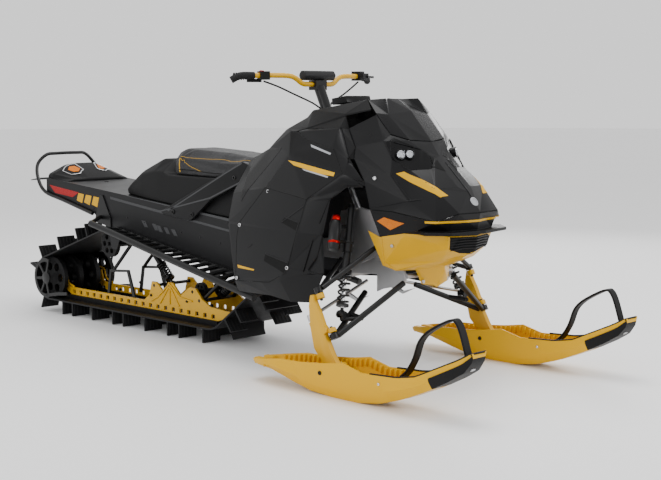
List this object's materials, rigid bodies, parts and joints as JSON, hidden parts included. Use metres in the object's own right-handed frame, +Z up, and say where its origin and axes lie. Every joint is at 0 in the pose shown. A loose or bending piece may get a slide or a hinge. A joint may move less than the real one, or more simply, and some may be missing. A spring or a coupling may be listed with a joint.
{
  "type": "snowmobile",
  "caption": "Long-track mountain snowmobile with a deep-lug track, steerable twin skis, a high handlebar, a short narrow seat and a black and yellow body.",
  "frame": {"origin": "on the snow under the middle of the machine, midway along its length and on its centre plane", "axes": "+X forward, +Y to the rider's left, +Z up"},
  "size_m": [3.3261, 1.16, 1.261],
  "materials": {
    "coated_sheet": "satin black coated aluminium sheet",
    "black_plastic": "grained black moulding",
    "gloss_black": "glossy black moulding",
    "yellow_panel": "glossy yellow moulding",
    "yellow_plastic": "moulded yellow plastic",
    "yellow_metal": "yellow powder coat",
    "black_metal": "black powder coat",
    "frame_alloy": "bare cast and extruded alloy",
    "engine_cast": "dark cast block, stands in for the engine",
    "seat_cover": "grained vinyl with yellow piping",
    "smoked_screen": "dark smoked screen",
    "lamp": "clear headlight lens in a black bezel",
    "red_lens": "red tail-light lens",
    "flap_rubber": "moulded rubber",
    "grip_rubber": "ribbed rubber",
    "pad_foam": "skinned foam",
    "cable_sheath": "smooth sheath",
    "track_rubber": "moulded rubber belt and paddles",
    "wheel_plastic": "moulded wheels with rubber tyres",
    "rod_steel": "plated steel",
    "spring_steel": "black coated spring on a dark body"
  },
  "bodies": {
    "chassis": {"tunnel": "coated_sheet", "tail_cover": "black_plastic", "tail_lights": "red_lens", "rear_bumper": "black_metal", "snow_flap": "flap_rubber", "running_board_right": "black_metal", "running_board_left": "black_metal", "side_braces": "coated_sheet", "tank_cover": "black_plastic", "seat": "seat_cover", "console": "black_plastic", "gauge": "black_plastic", "cowl": "black_plastic", "side_panel_right": "gloss_black", "side_panel_left": "gloss_black", "hood": "gloss_black", "windshield": "smoked_screen", "headlights": "lamp", "front_trim": "gloss_black", "belly_pan": "yellow_panel", "front_frame": "frame_alloy", "engine": "engine_cast", "suspension_arms": "black_metal", "front_shocks": "spring_steel", "track": "track_rubber", "skid_rails": "yellow_metal", "slider_shoes": "black_plastic", "track_wheels": "wheel_plastic", "skid_arms": "black_metal", "skid_shocks": "spring_steel"},
    "steering": {"steering_post": "black_metal", "handlebar": "yellow_metal", "hand_grips": "grip_rubber", "bar_pad": "pad_foam", "throttle_control": "black_plastic", "brake_control": "black_plastic", "bar_cables": "cable_sheath"},
    "spindle_right": {"spindle_right": "yellow_metal"},
    "tie_rod_right": {"tie_rod_right": "rod_steel"},
    "ski_right": {"ski_right": "yellow_plastic", "ski_loop_right": "black_plastic"},
    "spindle_left": {"spindle_left": "yellow_metal"},
    "tie_rod_left": {"tie_rod_left": "rod_steel"},
    "ski_left": {"ski_left": "yellow_plastic", "ski_loop_left": "black_plastic"}
  },
  "joints": [
    {"name": "steer", "type": "hinge", "parent": "chassis", "child": "steering", "pos_m": [0.359, 0, 1.205], "axis": [-0.4321, 0, 0.9018], "range_deg": [-38, 38]},
    {"name": "turn_right", "type": "hinge", "parent": "chassis", "child": "spindle_right", "pos_m": [0.918, -0.472, 0.224], "axis": [-0.4478, 0, 0.8942], "range_deg": [-31, 31]},
    {"name": "tie_right", "type": "hinge", "parent": "spindle_right", "child": "tie_rod_right", "pos_m": [0.796, -0.48, 0.279], "axis": [-0.4478, 0, 0.8942], "range_deg": [-31, 31]},
    {"name": "rock_right", "type": "hinge", "parent": "spindle_right", "child": "ski_right", "pos_m": [0.943, -0.495, 0.094], "axis": [0, 1, 0], "range_deg": [-12, 12], "stiffness_Nm_per_rad": 60},
    {"name": "turn_left", "type": "hinge", "parent": "chassis", "child": "spindle_left", "pos_m": [0.918, 0.472, 0.224], "axis": [-0.4478, 0, 0.8942], "range_deg": [-31, 31]},
    {"name": "tie_left", "type": "hinge", "parent": "spindle_left", "child": "tie_rod_left", "pos_m": [0.796, 0.48, 0.279], "axis": [-0.4478, 0, 0.8942], "range_deg": [-31, 31]},
    {"name": "rock_left", "type": "hinge", "parent": "spindle_left", "child": "ski_left", "pos_m": [0.943, 0.495, 0.094], "axis": [0, 1, 0], "range_deg": [-12, 12], "stiffness_Nm_per_rad": 60}
  ],
  "couplings": [
    {"joint": "turn_right", "follows": "steer", "ratio": 0.8},
    {"joint": "tie_right", "follows": "steer", "ratio": -0.8},
    {"joint": "turn_left", "follows": "steer", "ratio": 0.8},
    {"joint": "tie_left", "follows": "steer", "ratio": -0.8}
  ]
}
